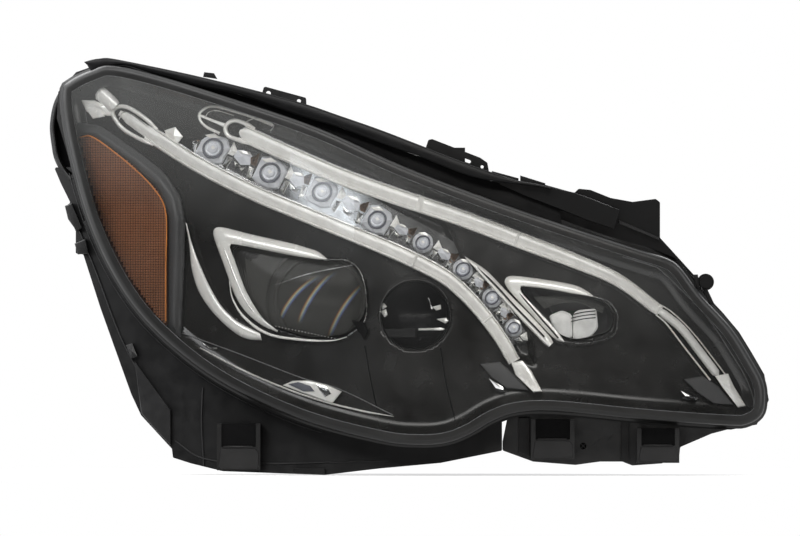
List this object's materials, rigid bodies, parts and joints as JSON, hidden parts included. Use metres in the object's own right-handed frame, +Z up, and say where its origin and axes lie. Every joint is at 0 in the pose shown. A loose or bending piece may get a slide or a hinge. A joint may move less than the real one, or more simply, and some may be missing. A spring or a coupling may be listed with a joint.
{
  "type": "car headlight assembly",
  "caption": "Right-hand car headlight: clear lens over swivelling low beam, high beam, turn lamp, twin light strips, daytime lamps and amber side reflector.",
  "frame": {"origin": "centre of the vertical bore in the ear of the upper rail bracket", "axes": "+X towards the car's centre line, -Y out through the lens, +Z up"},
  "size_m": [0.6493, 0.2795, 0.3755],
  "materials": {
    "housing_plastic": "fine grained moulded",
    "bracket_plastic": "fine grained moulded",
    "clear_lens": "clear, hard coated",
    "seal": "matte",
    "lip": "satin",
    "panel_black": "satin",
    "bright_trim": "mirror",
    "light_guide": "milky, gloss",
    "amber": "prismatic",
    "frame_grey": "matte",
    "lamp_clear": "clear",
    "board": "solder mask",
    "gear_plastic": "moulded",
    "cast_metal": "cast",
    "sheet_metal": "zinc plated",
    "white_plastic": "moulded"
  },
  "bodies": {
    "housing": {"housing": "housing_plastic", "lower_skirt": "housing_plastic", "clip_bracket": "bracket_plastic", "rail_bracket": "bracket_plastic", "inner_flange": "bracket_plastic", "fender_loop": "bracket_plastic", "bumper_bracket": "bracket_plastic", "main_connector": "bracket_plastic", "breather_caps": "bracket_plastic", "pivot_brackets": "bracket_plastic", "level_motor": "bracket_plastic", "outer_lens": "clear_lens", "lens_seal": "seal", "upper_seal_strip": "lip", "bezel": "panel_black", "crescent_trim": "bright_trim", "low_beam_trim": "bright_trim", "turn_trim": "bright_trim", "lower_strip_trim": "bright_trim", "upper_strip_trim": "bright_trim", "lower_blade": "bright_trim", "turn_reflector": "bright_trim", "drl_tray": "bright_trim", "lower_light_guide": "light_guide", "upper_light_guide": "light_guide", "turn_lens": "light_guide", "side_reflector": "amber", "reflector_frame": "frame_grey", "drl_lens_1": "lamp_clear", "drl_lens_2": "lamp_clear", "drl_lens_3": "lamp_clear", "drl_lens_4": "lamp_clear", "drl_lens_5": "lamp_clear", "drl_lens_6": "lamp_clear", "drl_lens_7": "lamp_clear", "drl_lens_8": "lamp_clear", "turn_board": "board", "drl_board": "board", "lamp_driver": "cast_metal", "signal_driver": "cast_metal"},
    "aim_frame": {"aim_frame": "gear_plastic"},
    "carrier": {"carrier": "gear_plastic", "high_beam_housing": "panel_black", "high_beam_lens": "lamp_clear", "high_beam_heat_sink": "cast_metal", "swivel_motor": "bracket_plastic"},
    "low_beam": {"low_beam_lens": "lamp_clear", "lens_holder": "cast_metal", "low_beam_housing": "panel_black", "low_beam_board": "board", "low_beam_heat_sink": "cast_metal"},
    "fan": {"fan_rotor": "gear_plastic"},
    "motor_shaft": {"motor_shaft": "sheet_metal"},
    "vertical_aim_screw": {"vertical_aim_screw": "sheet_metal"},
    "side_aim_screw": {"side_aim_screw": "sheet_metal"},
    "low_beam_cap": {"low_beam_cap": "bracket_plastic"},
    "high_beam_cap": {"high_beam_cap": "bracket_plastic"},
    "marker_lamp": {"marker_bulb_holder": "bracket_plastic", "marker_bulb": "lamp_clear"},
    "connector_lock": {"connector_lock": "white_plastic"}
  },
  "joints": [
    {"name": "side_aim", "type": "hinge", "parent": "housing", "child": "aim_frame", "pos_m": [-0.09, 0.03, -0.147], "axis": [0, 0, 1], "range_deg": [-2, 2]},
    {"name": "levelling", "type": "hinge", "parent": "aim_frame", "child": "carrier", "pos_m": [-0.09, 0.03, -0.14], "axis": [1, 0, 0], "range_deg": [-3, 3]},
    {"name": "bend_swivel", "type": "hinge", "parent": "carrier", "child": "low_beam", "pos_m": [-0.1215, 0.02, -0.135], "axis": [0, 0, 1], "range_deg": [-10, 10]},
    {"name": "fan_spin", "type": "hinge", "parent": "low_beam", "child": "fan", "pos_m": [-0.1215, 0.089, -0.135], "axis": [0, 1, 0], "continuous": true},
    {"name": "motor_travel", "type": "slide", "parent": "housing", "child": "motor_shaft", "axis": [0, 1, 0], "range_m": [-0.00356, 0.00356]},
    {"name": "vertical_screw_turn", "type": "hinge", "parent": "housing", "child": "vertical_aim_screw", "pos_m": [-0.126, 0.1, -0.205], "axis": [0, 1, 0], "range_deg": [-480, 480]},
    {"name": "side_screw_turn", "type": "hinge", "parent": "housing", "child": "side_aim_screw", "pos_m": [0.026, 0.1, -0.205], "axis": [0, 1, 0], "range_deg": [-360, 360]},
    {"name": "low_cap_twist", "type": "hinge", "parent": "housing", "child": "low_beam_cap", "pos_m": [-0.1215, 0.155, -0.135], "axis": [0, 1, 0], "range_deg": [0, 30]},
    {"name": "high_cap_twist", "type": "hinge", "parent": "housing", "child": "high_beam_cap", "pos_m": [-0.036, 0.155, -0.1485], "axis": [0, 1, 0], "range_deg": [0, 30]},
    {"name": "marker_twist", "type": "hinge", "parent": "housing", "child": "marker_lamp", "pos_m": [-0.29, 0.145, -0.06], "axis": [0, 1, 0], "range_deg": [0, 45]},
    {"name": "connector_lock_slide", "type": "slide", "parent": "housing", "child": "connector_lock", "axis": [1, 0, 0], "range_m": [0, 0.006]}
  ],
  "couplings": [
    {"joint": "motor_travel", "follows": "levelling", "m_per_rad": 0.068},
    {"joint": "vertical_screw_turn", "follows": "levelling", "ratio": 160},
    {"joint": "side_screw_turn", "follows": "side_aim", "ratio": 180}
  ]
}
